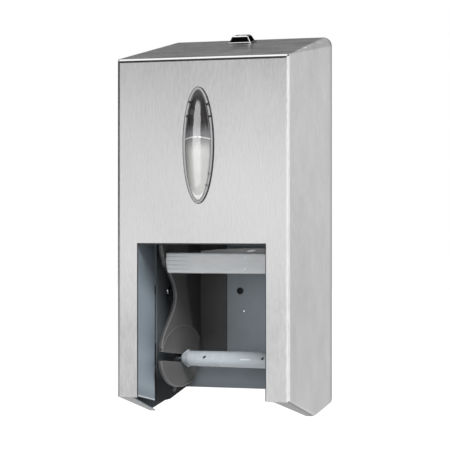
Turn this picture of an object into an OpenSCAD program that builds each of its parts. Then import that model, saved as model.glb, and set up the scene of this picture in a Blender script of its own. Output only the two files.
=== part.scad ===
// Twin toilet roll dispenser: a folded steel cover that swings down from a wall chassis,
// two moulded arms with sloping slots, and two spindles with turning sleeves.
// The front faces -Y, the wall is the plane y = 0, and the origin is the centre of the wall holes.

/* [Cover] */
// Overall width of the cover
cover_w = 185; // [176:1:215]
// Depth from the wall to the front panel
cover_d = 156; // [152:1:185]
// Height of the front panel
front_h = 345; // [335:1:400]
// Rise of the sloping top from front to wall
top_rise = 32.5; // [22:0.5:45]
// Thickness of the cover sheet
sheet = 1.2; // [0.8:0.1:2]
// Space left between the cover's rear edge and the wall
wall_gap = 2; // [1:0.5:4]
// Outer radius of the two upright front bends
front_bend_r = 4; // [2.5:0.5:8]
// Outer radius of the fold between front and top
fold_r = 4.4; // [2:0.1:6]
// Outer radius of the conical side bends where they reach the wall
cone_bend_r = 10; // [6:0.5:16]
// Distance from the front panel to the lowest point of each side
tip_run = 86; // [70:1:100]
// Drop of that point below the front panel
tip_drop = 22.3; // [14:0.1:28]
// Width of the sloping flange under each leg at its lowest point
leg_flange_w = 8.5; // [6:0.5:14]
// Outer radius of the bend between each side and that flange
leg_bend_r = 3; // [2:0.25:4]
// Drop of each side's rear corner below the front panel
rear_drop = 14.5; // [8:0.5:18]
// Radius of that rear corner, which clears the wall as the cover swings
rear_corner_r = 6; // [4:0.5:10]

/* [Cut-out] */
// Width of the cut-out in the front panel
cutout_w = 138.4; // [128:0.2:150]
// Sideways place of the cut-out's centre
cutout_x = -0.8; // [-2:0.1:2]
// Height of the cut-out above the front panel's lower edge
cutout_h = 157.5; // [150:0.5:175]
// Depth of the flanges folded in along the cut-out's sides
return_d = 49; // [30:1:52]
// Drop of those flanges' lower edge from front to back
return_drop = 9; // [4:0.5:12]
// Depth of the flange folded in along the cut-out's top
lintel_d = 11; // [6:1:14]

/* [Window] */
// Sideways place of the window's centre
window_x = -3.3; // [-8:0.1:8]
// Height of the window's centre above the front panel's lower edge
window_z = 256.3; // [235:0.1:265]
// Width of the window over its rim
window_w = 33; // [24:0.5:44]
// Height of the window over its rim
window_h = 118; // [90:1:130]
// Width of the rim
rim_w = 3; // [2:0.25:5]
// Height of the rim above the panel
rim_h = 1.6; // [1:0.1:3]
// Rise of the clear dome above the panel
dome_h = 7.5; // [4:0.5:12]
// Wall of the clear dome
dome_t = 1.5; // [1:0.1:2.5]
// Width of the retaining frame behind the panel
retainer_w = 4; // [2.5:0.5:6]
// Thickness of the retaining frame
retainer_t = 2; // [1.5:0.25:4]

/* [Lock] */
// Sideways place of the lock
lock_x = -0.5; // [-20:0.5:20]
// Distance from the wall to the lock's axis, along the top panel
lock_y = 27; // [27:1:34]
// Width of the lock's faceted housing at its base
lock_base_w = 22; // [19:0.5:34]
// Depth of that base
lock_base_d = 18; // [17.5:0.5:24]
// Height of the housing above the top panel
lock_h = 8; // [6:0.5:12]
// Size of the housing's top face as a share of its base
lock_taper = 0.8; // [0.74:0.01:0.9]
// Diameter of the threaded barrel below the top panel
barrel_d = 15; // [14:0.5:16.5]
// Length of the barrel below the top panel
barrel_h = 20; // [16:0.5:22]
// Diameter of the turning core
core_d = 10; // [9:0.5:11]
// Thickness of the locking cam
cam_t = 2.5; // [2:0.25:3]

/* [Back plate] */
// Thickness of the chassis sheet
plate_t = 1.5; // [1:0.1:2.5]
// Space between each wing and the cover's side
side_gap = 16.3; // [14:0.1:19]
// Depth of the wings from the wall
wing_d = 91; // [80:1:97]
// Height of the chassis top above the front panel's lower edge
plate_top = 366; // [356:0.5:367]
// Height of the sloping kick strip at the bottom
kick_h = 20; // [14:1:26]
// Distance that the kick strip's lower edge stands off the wall
kick_d = 6; // [3:0.5:8]
// Drop of the wings' lower edge below the front panel
wing_drop = 11; // [8:0.5:13]
// Upright spacing of the wall holes
wall_hole_dz = 255; // [235:1:260]
// Diameter of the wall holes
wall_hole_d = 6.5; // [4.5:0.5:8]
// Sideways place of the single lower fixing hole
low_hole_x = -11.5; // [-18:0.5:18]
// Height of that hole above the front panel's lower edge
low_hole_z = 104; // [95:1:112]
// Diameter of that hole
low_hole_d = 5.4; // [4.5:0.1:7]
// Sideways place of the small marking hole, for lining the plate up on the wall
mark_hole_x = -7.2; // [-12:0.2:12]
// Height of the marking hole above the front panel's lower edge
mark_hole_z = 82; // [70:1:90]
// Diameter of the marking hole
mark_hole_d = 1.8; // [1:0.2:3]

/* [Arms] */
// Clear width between the two arms
arm_gap = 114.5; // [108:0.5:116]
// Sideways place of the middle between the arms
arm_x = 2; // [0:0.5:2.5]
// Height of an arm's base flange's lower end above the front panel's lower edge
arm_base_low = 27; // [20:1:40]
// Height of that flange's upper end
arm_base_high = 226; // [205:1:240]
// Thickness of an arm's web
arm_t = 3; // [2:0.25:4]
// Thickness of the recessed web behind the strut
arm_web_t = 1.8; // [1.4:0.1:2.4]
// Width of an arm's base flange on the back plate
arm_base_w = 31.5; // [24:0.5:34]
// Thickness of that flange
arm_base_t = 2.2; // [2:0.1:3.5]
// Half length of the oval slotted ends
oval_a = 61.5; // [59:0.5:63]
// Half height of the oval slotted ends
oval_b = 33; // [28:0.5:35]
// Width of the raised rim along an arm's edges
edge_rim_w = 1.4; // [1:0.1:2.5]
// Height of the raised rim
edge_rim_h = 0.8; // [0.5:0.1:1.2]

// Height of the cross strap's crown above the front panel's lower edge
brace_z = 150.5; // [146:0.5:154]
// Height of the cross strap
brace_h = 18; // [12:0.5:19]
// Thickness of the cross strap
brace_t = 4; // [2:0.5:6]
// Rise of its crowned upper edge
brace_crown = 3; // [1:0.5:6]

/* [Spindles] */
// Distance from the wall to the spindle axes
spindle_y = 65; // [62:0.5:68]
// Height of the lower spindle above the front panel's lower edge
spindle_z = 34.2; // [30:0.2:38]
// Distance between the two spindle axes
spindle_pitch = 160; // [152:1:170]
// Slope of the slots in the arms, in degrees
slot_slope = 5.7; // [4:0.1:7]
// Diameter of the spindle axle
axle_d = 8; // [6:0.2:9]
// Diameter of the sleeve at its slimmer end
sleeve_d1 = 16; // [14:0.2:17]
// Diameter of the sleeve at its thicker end
sleeve_d2 = 17.6; // [16:0.2:19]
// Wall of the sleeve
sleeve_wall = 1.6; // [1.2:0.1:2]
// Length of the sleeve
sleeve_l = 96.4; // [88:0.2:98]

/* [Stop bar] */
// Height of the bar
bar_h = 21.3; // [16:0.1:24]
// Depth of the bar
bar_d = 12; // [9:0.5:14]
// Wall of the bar
bar_wall = 2; // [1.5:0.1:3]
// Height of the bar's centre above the front panel's lower edge
bar_z = 136.6; // [130:0.2:140]
// Distance from the wall to the bar's axis
bar_y = 110.8; // [108:0.2:112]
// Diameter of the bar's journals
journal_d = 5; // [4:0.2:6]
// Length of the grooves at the bar's left end
bar_groove_l = 24; // [10:1:60]
// Sideways place of the two pips on the bar's front
bar_pip_x = 30.2; // [20:0.2:42]
// Upright distance between the pips
bar_pip_gap = 11.8; // [8:0.1:15]
// Diameter of a pip
bar_pip_d = 2; // [1:0.1:3]

/* [Hinge] */
// Distance from the wall to the cover's hinge axis
hinge_y = 45; // [42:0.5:50]
// Height of the hinge axis above the front panel's lower edge
hinge_z = 2; // [0:0.5:4]
// Diameter of the hinge pins
hinge_pin_d = 6; // [5:0.2:7]

/* [Fits] */
// Radial clearance of a running fit
run_fit = 0.05; // [0.02:0.01:0.1]
// Gap between pieces that pass each other
pass_gap = 0.3; // [0.2:0.05:0.6]

/* [Hidden] */
$fn = 72;

tiny = 0.01;
cut = 40;                                  // how far a cutting shape runs past what it cuts
base_z = -front_h / 2;                     // the front panel's lower edge
top_slope = atan(top_rise / cover_d);
leg_slope = atan(tip_drop / tip_run);
leg_flange_inset = 6.5;                    // the flange under a leg starts this far from the cut-out
return_lift = 1.5;                         // the flanges beside the cut-out end this far above its lower edge
slot_w = axle_d + 2 * pass_gap;
arm_in = arm_gap / 2;                      // an arm's inner face
arm_out = arm_in + arm_t;
side_in = cover_w / 2 - sheet;             // the inside of a cover side
wing_out = side_in - side_gap;
wing_in = wing_out - plate_t;
wall_hole_x = (arm_x + arm_out + wing_in) / 2;   // each wall hole lies between an arm and a wing
lower_z = base_z + spindle_z;
upper_z = lower_z + spindle_pitch;

// Height of the top panel's outer face, at a distance y from the wall
function top_z(y) = base_z + front_h + (cover_d - y) * tan(top_slope);

// Points on an arc in a plane
function arc(c, r, from, to, steps) =
    [for (i = [0 : steps]) let (a = from + (to - from) * i / steps) [c[0] + r * cos(a), c[1] + r * sin(a)]];

// Points on an ellipse in a plane
function oval(c, a, b, steps = 72) =
    [for (i = [0 : steps - 1]) [c[0] + a * cos(360 * i / steps), c[1] + b * sin(360 * i / steps)]];

// Stands a side view, drawn as [y, z], across the width
module across(from, to) {
    translate([from, 0, 0])
        rotate([90, 0, 90])
            linear_extrude(to - from)
                children();
}

// Lays a front view, drawn as [x, z], back from y = from to y = to
module back_from(from, to) {
    translate([0, to, 0])
        rotate([90, 0, 0])
            linear_extrude(to - from)
                children();
}

// Moves a piece drawn for the right side to both sides
module both_sides() {
    children();
    mirror([1, 0, 0])
        children();
}

// A cylinder along X
module rod(d, from, to) {
    translate([from, 0, 0])
        rotate([0, 90, 0])
            cylinder(d = d, h = to - from);
}

// A cylinder along Y
module bolt_way(d, from, to) {
    translate([0, to, 0])
        rotate([90, 0, 0])
            cylinder(d = d, h = to - from);
}

/* ---- cover ---- */

// The cover's side view, moved in by a distance: closed below for the outside, open for the inside
module cover_side(in) {
    r = fold_r - in;
    front = -cover_d + in;
    rear = in > 0 ? cut : -wall_gap;
    drop = in / cos(top_slope);
    fold_c = [front + r, top_z(cover_d - in - r) - drop - r / cos(top_slope)];
    fold = arc(fold_c, r, 180, 90 + top_slope, 8);
    roof = [[rear, top_z(-rear) - drop]];
    corner_r = rear_corner_r;
    corner_c = [-wall_gap - corner_r, base_z - rear_drop + corner_r + corner_r * 0.1];
    feet = in > 0
        ? [[rear, base_z - cut], [front, base_z - cut]]
        : concat(arc(corner_c, corner_r, 0, -78, 6),
                 [[-cover_d + tip_run, base_z - tip_drop], [-cover_d, base_z]]);
    polygon(concat(fold, roof, feet));
}

// The cover's plan, moved in by a distance, with its two round front bends
module cover_plan(in) {
    r = front_bend_r - in;
    half = cover_w / 2 - in;
    front = -cover_d + in;
    translate([-half, front + r])
        square([2 * half, cover_d + cut]);
    translate([-half + r, front])
        square([2 * half - 2 * r, cover_d + cut]);
    for (side = [-1, 1])
        translate([side * (half - r), front + r])
            circle(r = r);
}

// What a conical bend takes off the right upper edge: its radius grows from nothing to cone_bend_r
module cone_bend_waste(in) {
    r = cone_bend_r - in;
    up = [0, -sin(top_slope), cos(top_slope)];
    side = [1, 0, 0];
    apex = [cover_w / 2 - in, -cover_d + in, top_z(cover_d - in) - in / cos(top_slope)];
    run = (cover_d - in) / cos(top_slope);
    far = apex + [0, cos(top_slope), sin(top_slope)] * run;
    centre = far - (side + up) * r;
    axis = centre - apex;
    length = norm(axis);
    past = 0.5;
    difference() {
        polyhedron(
            points = [apex, centre, centre + side * (r + past), far + (side + up) * past,
                      centre + up * (r + past)],
            faces = [[0, 1, 2], [0, 2, 3], [0, 3, 4], [0, 4, 1], [4, 3, 2, 1]]);
        translate(apex)
            rotate([0, acos(axis[2] / length), atan2(axis[1], axis[0])])
                cylinder(h = length * 1.2, r1 = 0, r2 = 1.2 * length * r / sqrt(run * run + r * r));
    }
}

// The solid form of the cover, moved in by a distance
module cover_form(in) {
    difference() {
        intersection() {
            across(-cover_w, cover_w)
                cover_side(in);
            translate([0, 0, base_z - 2 * cut])
                linear_extrude(front_h + top_rise + 4 * cut)
                    cover_plan(in);
        }
        both_sides()
            cone_bend_waste(in);
    }
}

// Runs a section, drawn inwards and upwards from the corner under the right side, down the leg's slope
module down_leg(from, to) {
    translate([cover_w / 2, -cover_d, base_z])
        rotate([90 - leg_slope, 0, 0])
            mirror([1, 0, 0])
                translate([0, 0, -to])
                    linear_extrude(to - from)
                        children();
}

// The sloping flange under each leg, narrower towards its lowest point, with a round bend to the side
module leg_flanges() {
    length = tip_run / cos(leg_slope);
    half = cutout_w / 2;
    both_sides() {
        intersection() {
            down_leg(sheet / 2, length - tiny)
                square([cover_w / 2 - half + cutout_x, sheet]);
            translate([0, 0, base_z - cut])
                linear_extrude(2 * cut)
                    polygon([[half + leg_flange_inset, -cover_d], [cover_w / 2 - sheet / 2, -cover_d],
                             [cover_w / 2 - sheet / 2, -cover_d + tip_run],
                             [cover_w / 2 - leg_flange_w, -cover_d + tip_run]]);
        }
        down_leg(sheet, length - 2 * sheet)
            difference() {
                translate([sheet - tiny, sheet - tiny])
                    square(0.9 * (leg_bend_r - sheet));
                translate([leg_bend_r, leg_bend_r])
                    circle(r = leg_bend_r - sheet);
            }
    }
}

// What the round bends under the legs take off their corners
module leg_bend_waste() {
    both_sides()
        down_leg(-cut, cut + tip_run)
            difference() {
                translate([-1, -1])
                    square(1 + leg_bend_r);
                translate([leg_bend_r, leg_bend_r])
                    circle(r = leg_bend_r);
            }
}

// The flanges folded in along the cut-out
module cutout_flanges() {
    half = cutout_w / 2;
    low = base_z + return_lift;
    high = base_z + cutout_h + sheet;
    translate([cutout_x, 0, 0]) {
        both_sides()
            across(half, half + sheet)
                polygon([[-cover_d + tiny, low], [-cover_d + return_d, low - return_drop],
                         [-cover_d + return_d, high], [-cover_d + tiny, high]]);
        back_from(-cover_d + tiny, -cover_d + lintel_d)
            translate([-half - sheet / 2, base_z + cutout_h])
                square([2 * half + sheet, sheet]);
    }
}

// Stands a piece on the top panel at the lock's axis
module at_lock() {
    translate([lock_x, -lock_y, top_z(lock_y)])
        rotate([top_slope, 0, 0])
            children();
}

// An upright ellipse at the window, from y = from to y = to
module window_oval(a, b, from, to) {
    translate([window_x, to, base_z + window_z])
        rotate([90, 0, 0])
            scale([a, b, 1])
                cylinder(r = 1, h = to - from);
}

module cover_shell() {
    relief = 2.4;
    neck_a = window_w / 2 - rim_w / 2;
    neck_b = window_h / 2 - rim_w / 2;
    color([0.80, 0.80, 0.79])
        difference() {
            union() {
                difference() {
                    cover_form(0);
                    cover_form(sheet);
                    translate([cutout_x - cutout_w / 2, -cover_d - cut, base_z - cut])
                        cube([cutout_w, 2 * cut, cutout_h + cut]);
                }
                cutout_flanges();
                leg_flanges();
            }
            leg_bend_waste();
            window_oval(neck_a + pass_gap, neck_b + pass_gap, -cover_d - cut, -cover_d + cut / 2);
            at_lock()
                translate([0, 0, -cut / 2])
                    cylinder(d = barrel_d + pass_gap, h = cut);
            both_sides()
                translate([cover_w / 2 - relief / 2, -cover_d + relief / 2, top_z(cover_d)])
                    rotate([45, 0, 45])
                        cylinder(d = relief, h = 3 * relief, center = true);
        }
}

/* ---- window ---- */

// The dome is a cap cut from a very large ring, so that its wall is even; in moves its surface inwards
module window_dome(in) {
    seat = rim_w * 0.7;                    // how far inside the rim's edge the dome starts
    half_w = window_w / 2 - seat;
    half_h = window_h / 2 - seat;
    across_r = (half_w * half_w + dome_h * dome_h) / (2 * dome_h);
    upright_r = (half_h * half_h + dome_h * dome_h) / (2 * dome_h);
    intersection() {
        translate([window_x, -cover_d - dome_h + upright_r, base_z + window_z])
            rotate([0, 90, 0])
                rotate_extrude()
                    translate([upright_r - across_r, 0])
                        circle(r = across_r - in);
        translate([window_x - window_w, -cover_d - dome_h - 1, base_z + window_z - window_h])
            cube([2 * window_w, dome_h + 1, 2 * window_h]);
    }
}

module window_lens() {
    a = window_w / 2;
    b = window_h / 2;
    neck = rim_w / 2;
    bore = rim_w + 0.4;
    color([0.75, 0.78, 0.80, 0.5])
        difference() {
            union() {
                window_oval(a, b, -cover_d - rim_h, -cover_d);
                window_oval(a - neck, b - neck, -cover_d - rim_h, -cover_d + sheet + retainer_t);
                window_dome(0);
            }
            window_dome(dome_t);
            window_oval(a - bore, b - bore, -cover_d, -cover_d + cut);
        }
}

module window_retainer() {
    neck_a = window_w / 2 - rim_w / 2 + run_fit;
    neck_b = window_h / 2 - rim_w / 2 + run_fit;
    back = -cover_d + sheet;
    clip_w = 8;
    clip_t = 2;
    clip_lift = 1.6;
    clip_x = neck_a + retainer_w / 2;
    color([0.45, 0.46, 0.47])
        difference() {
            union() {
                window_oval(neck_a + retainer_w, neck_b + retainer_w, back, back + retainer_t);
                for (side = [-1, 1])
                    translate([window_x + side * clip_x - clip_t / 2, back, base_z + window_z - clip_w / 2])
                        cube([clip_t, retainer_t + clip_lift, clip_w]);
            }
            window_oval(neck_a, neck_b, back - cut, back + cut);
        }
}

/* ---- lock ---- */

module lock_housing() {
    color([0.86, 0.87, 0.88])
        at_lock()
            difference() {
                union() {
                    linear_extrude(lock_h, scale = lock_taper)
                        square([lock_base_w, lock_base_d], center = true);
                    translate([0, 0, -barrel_h])
                        cylinder(d = barrel_d, h = barrel_h + 1);
                }
                translate([0, 0, -barrel_h - 1])
                    cylinder(d = core_d + 2 * run_fit, h = barrel_h + lock_h + 2);
            }
}

module lock_washer() {
    color([0.70, 0.71, 0.72])
        at_lock()
            translate([0, 0, -sheet - 1])
                difference() {
                    cylinder(d = barrel_d + 6, h = 1);
                    translate([0, 0, -1])
                        cylinder(d = barrel_d + pass_gap, h = 3);
                }
}

module lock_nut() {
    nut_h = 4;
    color([0.78, 0.79, 0.80])
        at_lock()
            translate([0, 0, -sheet - 1 - nut_h])
                difference() {
                    cylinder(d = barrel_d + 8, h = nut_h, $fn = 6);
                    translate([0, 0, -1])
                        cylinder(d = barrel_d + pass_gap / 2, h = nut_h + 2);
                }
}

cam_seat = barrel_h + 2 * pass_gap;        // depth of the cam's upper face below the top panel
cam_square = core_d * 0.6;                 // the core's squared end
cam_screw_d = 4;

module lock_core() {
    slot_depth = 5;
    color([0.12, 0.12, 0.13])
        at_lock()
            difference() {
                union() {
                    translate([0, 0, -cam_seat])
                        cylinder(d = core_d, h = cam_seat + lock_h - 0.6);
                    translate([-cam_square / 2, -cam_square / 2, -cam_seat - cam_t])
                        cube([cam_square, cam_square, cam_t + 1]);
                }
                translate([-core_d * 0.34, -1, lock_h - slot_depth])
                    cube([core_d * 0.68, 2, slot_depth + 1]);
                translate([0, 0, -cam_seat - cam_t - 1])
                    cylinder(d = cam_screw_d, h = 12);
            }
}

finger_in = 12.2;                          // inner radius of the cam's hooked finger
finger_out = 16;
keeper_tab_r = 11;                         // distance from the core's axis to the keeper's tab

// The part of a plane between two directions from the origin, less than a half turn apart
module sector(reach, from, to) {
    mid = (from + to) / 2;
    polygon([[0, 0], 2 * reach * [cos(from), sin(from)], 2 * reach * [cos(mid), sin(mid)],
             2 * reach * [cos(to), sin(to)]]);
}

// The cam is drawn in its unlocked position, a quarter turn before its finger is behind the tab
module cam_outline() {
    hub_d = 14;
    arm_turn = -52;
    finger_from = -66;
    finger_to = 19;
    difference() {
        union() {
            circle(d = hub_d);
            rotate(arm_turn)
                translate([0, -3])
                    square([finger_in + 1.5, 6]);
            intersection() {
                difference() {
                    circle(r = finger_out);
                    circle(r = finger_in);
                }
                sector(finger_out, finger_from, finger_to);
            }
        }
        square(cam_square + 2 * run_fit, center = true);
    }
}

module lock_cam() {
    color([0.66, 0.67, 0.68])
        at_lock()
            translate([0, 0, -cam_seat - cam_t])
                linear_extrude(cam_t)
                    cam_outline();
}

module cam_screw() {
    head_h = 2.6;
    color([0.72, 0.73, 0.74])
        at_lock()
            translate([0, 0, -cam_seat - cam_t - head_h]) {
                difference() {
                    cylinder(d = 2.4 * cam_screw_d, h = head_h);
                    translate([0, 0, -1])
                        cylinder(d = cam_screw_d, h = 2.5, $fn = 6);
                }
                cylinder(d = cam_screw_d - 2 * run_fit, h = head_h + 10);
            }
}

/* ---- cover hinge ---- */

lug_t = 1.5;
lug_gap = 1.6;                             // between the chassis wing and the lug's ear
bush_flange = 1.2;

module at_hinge() {
    translate([0, -hinge_y, base_z + hinge_z])
        children();
}

module hinge_lugs() {
    ear_in = wing_out + lug_gap;
    ear_r = 9;
    foot_h = 24;
    color([0.68, 0.69, 0.70])
        at_hinge()
            both_sides()
                difference() {
                    union() {
                        rod(2 * ear_r, ear_in, ear_in + lug_t);
                        translate([ear_in, -ear_r, 0])
                            cube([lug_t, 2 * ear_r, foot_h]);
                        translate([ear_in, -ear_r, foot_h - lug_t])
                            cube([side_in - ear_in, 2 * ear_r, lug_t]);
                        translate([side_in - lug_t, -ear_r, foot_h - lug_t])
                            cube([lug_t, 2 * ear_r, foot_h]);
                    }
                    rod(hinge_pin_d, 0, side_in);
                }
}

clip_t = 0.8;
pin_in = wing_in - bush_flange - clip_t - 0.9;

module hinge_pins() {
    color([0.74, 0.75, 0.76])
        at_hinge()
            both_sides() {
                rod(hinge_pin_d, pin_in, wing_out + lug_gap + lug_t);
                rod(hinge_pin_d + 4, wing_out + lug_gap + lug_t, wing_out + lug_gap + lug_t + 2);
            }
}

module hinge_clips() {
    from = wing_in - bush_flange - clip_t - 0.2;
    color([0.30, 0.30, 0.31])
        at_hinge()
            both_sides()
                difference() {
                    rod(hinge_pin_d + 6, from, from + clip_t);
                    rod(hinge_pin_d, from - 1, from + clip_t + 1);
                }
}

// A rubber plug that closes the low hole from inside, with a dished face
module hole_plug() {
    r = low_hole_d / 2;
    flange_r = r + 1;
    flange_t = 1.4;
    color([0.05, 0.05, 0.05])
        translate([low_hole_x, -plate_t, base_z + low_hole_z])
            rotate([90, 0, 0])
                rotate_extrude()
                    polygon([[0, -plate_t], [r, -plate_t], [r, 0], [flange_r, 0], [flange_r, 0.5 * flange_t],
                             [flange_r - 0.8, flange_t], [r - 0.6, flange_t], [r - 1.2, -0.5 * plate_t],
                             [0, -0.5 * plate_t]]);
}

module hinge_bushes() {
    bush_d = hinge_pin_d + 2.4;
    color([0.12, 0.12, 0.12])
        at_hinge()
            both_sides()
                difference() {
                    union() {
                        rod(bush_d, wing_in - bush_flange, wing_out + bush_flange);
                        rod(bush_d + 4, wing_out, wing_out + bush_flange);
                        rod(bush_d + 3, wing_in - bush_flange, wing_in);
                    }
                    rod(hinge_pin_d + 2 * run_fit, wing_in - cut, wing_out + cut);
                }
}

/* ---- chassis ---- */

module wing_outline() {
    corner_r = 10;
    bottom = base_z - wing_drop;
    polygon(concat(
        [[0, base_z - 1.5], [-0.58 * wing_d, bottom]],
        arc([-wing_d + 4, bottom + 4], 4, 270, 180, 4),
        arc([-wing_d + corner_r, base_z + plate_top - 44], corner_r, 180, 135, 4),
        [[-0.6 * wing_d, base_z + plate_top - 10], [-20, base_z + plate_top], [0, base_z + plate_top]]));
}

module back_plate() {
    low = base_z - 1.5;
    lip_d = 11;
    color([0.62, 0.65, 0.68])
        difference() {
            union() {
                across(-wing_out + tiny, wing_out - tiny)
                    polygon([[-plate_t, base_z + kick_h], [0, base_z + kick_h],
                             [0, base_z + plate_top], [-lip_d, base_z + plate_top],
                             [-lip_d, base_z + plate_top - plate_t],
                             [-plate_t, base_z + plate_top - plate_t]]);
                across(-wing_out + tiny, wing_out - tiny)
                    polygon([[-kick_d - plate_t, low], [-kick_d, low],
                             [0, base_z + kick_h + tiny], [-plate_t, base_z + kick_h + tiny]]);
                both_sides()
                    across(wing_in, wing_out)
                        wing_outline();
            }
            for (x = [-wall_hole_x, wall_hole_x], z = [-wall_hole_dz / 2, wall_hole_dz / 2])
                translate([x, 0, z])
                    bolt_way(wall_hole_d, -cut, cut);
            translate([low_hole_x, 0, base_z + low_hole_z])
                bolt_way(low_hole_d, -cut, cut);
            translate([mark_hole_x, 0, base_z + mark_hole_z])
                bolt_way(mark_hole_d, -cut, cut);
            at_arm_screws()
                bolt_way(arm_screw_d, -cut, cut);
            at_keeper_rivets()
                bolt_way(keeper_rivet_d, -cut, cut);
            at_buffers()
                rod(buffer_rivet_d, wing_in - 1, wing_out + 1);
            at_hinge()
                both_sides()
                    rod(hinge_pin_d + 2.4, wing_in - 1, wing_out + 1);
        }
}

keeper_w = 30;
keeper_t = 1.5;
keeper_rivet_d = 4;
keeper_y = lock_y - (cam_seat + cam_t / 2) * sin(top_slope) - keeper_tab_r * cos(top_slope);
keeper_shelf_z = top_z(lock_y) - cam_seat - cam_t - 9;

module at_keeper_rivets() {
    for (x = [-9, 9])
        translate([lock_x + x, 0, keeper_shelf_z - 9])
            children();
}

module lock_keeper() {
    tab_w = 8;
    color([0.70, 0.71, 0.72])
        difference() {
            union() {
                translate([lock_x - keeper_w / 2, -plate_t - keeper_t, keeper_shelf_z - 18])
                    cube([keeper_w, keeper_t, 18]);
                translate([lock_x - keeper_w / 2, -keeper_y - keeper_t, keeper_shelf_z - keeper_t])
                    cube([keeper_w, keeper_y + keeper_t - plate_t, keeper_t]);
                translate([lock_x - tab_w / 2, -keeper_y - keeper_t, keeper_shelf_z - keeper_t])
                    cube([tab_w, keeper_t, 17]);
            }
            at_keeper_rivets()
                bolt_way(keeper_rivet_d, -cut, cut);
        }
}

module keeper_rivets() {
    d = keeper_rivet_d;
    color([0.72, 0.72, 0.73])
        at_keeper_rivets() {
            bolt_way(d, -plate_t - keeper_t, 0);
            translate([0, -plate_t - keeper_t, 0])
                rotate([90, 0, 0])
                    rotate_extrude()
                        polygon([[0, 0], [d, 0], [0.8 * d, 1.1], [0.4 * d, 1.7], [0, 1.8]]);
        }
}

/* ---- arms ---- */

arm_screw_d = 4;
arm_base_z = [base_z + arm_base_low, base_z + arm_base_high];
oval_lift = 2.6;                           // the ovals' centre above a spindle
screw_shares = [0.16, 0.5, 0.84];          // the screws' places along the base flange

module at_arm_screws() {
    translate([arm_x, 0, 0])
        both_sides()
            for (share = screw_shares)
                translate([arm_out - arm_base_w / 2, 0,
                           arm_base_z[0] + share * (arm_base_z[1] - arm_base_z[0])])
                    children();
}

// Front edge of the arm's strut: one wave between the two ovals, along which the axle drops
function strut_front(z) = -spindle_y - 39.2 - 21 * cos(360 * (z - base_z - 47) / 108);

// Rear edge of the strut
function strut_rear(z) = -spindle_y + 23.8 - 11 * cos(360 * (z - base_z - 125) / 150);

module strut_outline(rim) {
    from = base_z + 48;
    to = base_z + spindle_z + spindle_pitch - 12;
    steps = 24;
    heights = [for (i = [0 : steps]) from + (to - from) * i / steps];
    rear = [for (z = heights) rim > 0 ? strut_front(z) + rim : strut_rear(z)];
    polygon(concat(
        [for (z = heights) [strut_front(z), z]],
        [for (i = [steps : -1 : 0]) [rear[i], heights[i]]]));
}

// An oval end of an arm, made smaller by in
module oval_end(z, in) {
    polygon(oval([-spindle_y, z + oval_lift], oval_a - in, oval_b - in));
}

// The sloping slot that a spindle's axle slides along, with a round lead-in at its mouth
module slot_outline(z) {
    lead_r = 3;
    mouth = -oval_a + lead_r;
    translate([-spindle_y, z])
        rotate(-slot_slope) {
            circle(d = slot_w);
            translate([-oval_a - cut, -slot_w / 2])
                square([oval_a + cut, slot_w]);
            difference() {
                translate([mouth - cut, -slot_w / 2 - lead_r])
                    square([cut, slot_w + 2 * lead_r]);
                for (side = [-1, 1])
                    translate([mouth, side * (slot_w / 2 + lead_r)])
                        circle(r = lead_r);
            }
        }
}

pivot_r = journal_d / 2 + 4;
bar_pivot_z = base_z + bar_z + 2.4;
bar_front = -bar_y - 3.5;                  // the bar's front face
bar_rear = bar_front + bar_d;

module arm_outline() {
    difference() {
        union() {
            for (z = [lower_z, upper_z])
                oval_end(z, 0);
            strut_outline(0);
            translate([-bar_y, bar_pivot_z])
                circle(r = pivot_r);
        }
        slot_outline(lower_z);
        slot_outline(upper_z);
        translate([-bar_y, bar_pivot_z])
            circle(d = journal_d + 2 * run_fit);
    }
}

// The raised rim on the inner face, along the strut's front edge and round the ovals
module arm_rim_outline() {
    difference() {
        union() {
            for (z = [lower_z, upper_z])
                difference() {
                    oval_end(z, 0);
                    oval_end(z, edge_rim_w);
                }
            difference() {
                strut_outline(edge_rim_w);
                for (z = [lower_z, upper_z])
                    oval_end(z, 0);
            }
        }
        slot_outline(lower_z);
        slot_outline(upper_z);
        translate([-bar_y, bar_pivot_z])
            circle(r = pivot_r + 4);
    }
}

stop_peg_d = 3;                            // a peg on each arm, which holds the stop bar upright
stop_peg_l = 5;

// The right arm, about the middle between the arms
module arm_form() {
    web_front = -spindle_y + slot_w + 3;
    difference() {
        union() {
            across(arm_in, arm_out)
                arm_outline();
            across(arm_in - edge_rim_h, arm_in + tiny)
                arm_rim_outline();
            translate([0, bar_rear + stop_peg_d / 2 + pass_gap, base_z + bar_z + bar_h / 2 - 3])
                rod(stop_peg_d, arm_in - stop_peg_l, arm_in + tiny);
            across(arm_out - arm_web_t, arm_out)
                translate([web_front, arm_base_z[0]])
                    square([-plate_t - web_front, arm_base_z[1] - arm_base_z[0]]);
            translate([arm_out - arm_base_w, -plate_t - arm_base_t, arm_base_z[0]])
                cube([arm_base_w, arm_base_t, arm_base_z[1] - arm_base_z[0]]);
        }
        translate([-arm_x, 0, 0])
            at_arm_screws() {
                bolt_way(arm_screw_d, -cut, cut);
                translate([0, -plate_t - arm_base_t, 0])
                    rotate([-90, 0, 0])
                        cylinder(d1 = 2 * arm_screw_d, d2 = arm_screw_d, h = arm_screw_d / 2);
            }
    }
}

module right_arm() {
    color([0.29, 0.28, 0.27])
        translate([arm_x, 0, 0])
            arm_form();
}

module left_arm() {
    color([0.29, 0.28, 0.27])
        translate([arm_x, 0, 0])
            mirror([1, 0, 0])
                arm_form();
}

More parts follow.
